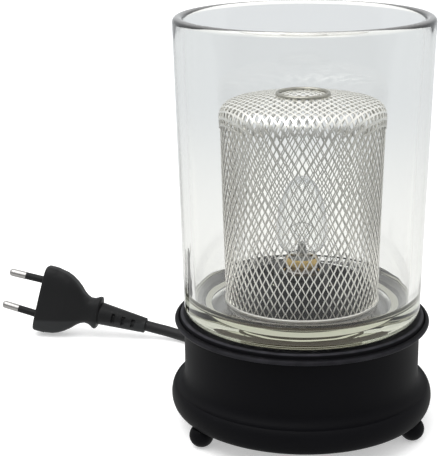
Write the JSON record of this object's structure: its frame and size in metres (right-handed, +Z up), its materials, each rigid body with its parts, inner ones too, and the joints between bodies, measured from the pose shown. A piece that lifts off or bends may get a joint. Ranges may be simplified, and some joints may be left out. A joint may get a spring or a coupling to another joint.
{
  "type": "electric wax melt warmer",
  "caption": "Clear glass tumbler with an expanded-metal cage over a small screw-in lamp, on a turned black base with ball feet, a mains cord and a flat plug.",
  "frame": {"origin": "on the table under the middle of the base", "axes": "+Z up along the glass, the front faces -Y, the cord leaves to the back and the plug lies to -X"},
  "size_m": [0.2138, 0.2104, 0.1785],
  "materials": {
    "black_wood": "satin black paint on turned wood",
    "black_board": "matt black fibre board",
    "steel": "zinc plated",
    "phenolic": "moulded black phenolic",
    "brass": "drawn bright",
    "brown_insulation": "smooth",
    "blue_insulation": "smooth",
    "black_cord": "satin flexible sheath",
    "clear_glass": "clear, fire polished rim",
    "nickel_mesh": "nickel plated expanded metal",
    "lamp_glass": "thin clear blown glass",
    "black_glass": "vitrified black",
    "solder": "soft solder",
    "tungsten": "drawn coil",
    "plug_black": "fine satin moulding",
    "nickel_pins": "nickel plated"
  },
  "bodies": {
    "base": {"base_body": "black_wood", "bottom_cover": "black_board", "cover_screws": "steel", "foot_left": "black_wood", "foot_right": "black_wood", "foot_rear": "black_wood", "lamp_holder": "phenolic", "holder_ring_nut": "phenolic", "screw_shell": "brass", "centre_contact": "brass", "side_contact": "brass", "terminal_screws": "steel", "holder_cap": "phenolic", "live_wire": "brown_insulation", "neutral_wire": "blue_insulation", "cord_tail": "black_cord", "cord_gland": "black_cord", "cord_lead": "black_cord", "cord_coil": "black_cord", "cord_run": "black_cord", "coil_tie": "black_cord", "plug_body": "plug_black", "plug_relief": "plug_black", "plug_pins": "nickel_pins", "pin_sleeves": "plug_black"},
    "glass": {"glass_tumbler": "clear_glass", "heat_shield": "phenolic"},
    "cage": {"mesh_cage": "nickel_mesh", "cage_top_ring": "nickel_mesh", "cage_rim_band": "nickel_mesh"},
    "bulb": {"bulb_glass": "lamp_glass", "bulb_cap": "brass", "cap_insulator": "black_glass", "cap_contact": "solder", "bulb_stem": "lamp_glass", "lead_in_wires": "steel", "filament": "tungsten"}
  },
  "joints": [
    {"name": "glass_lift", "type": "slide", "parent": "base", "child": "glass", "axis": [0, 0, 1], "range_m": [0, 0.07]},
    {"name": "cage_lift", "type": "slide", "parent": "glass", "child": "cage", "axis": [0, 0, 1], "range_m": [0, 0.125]},
    {"name": "bulb_unscrew", "type": "slide", "parent": "base", "child": "bulb", "axis": [0, 0, 1], "range_m": [0, 0.026]}
  ]
}
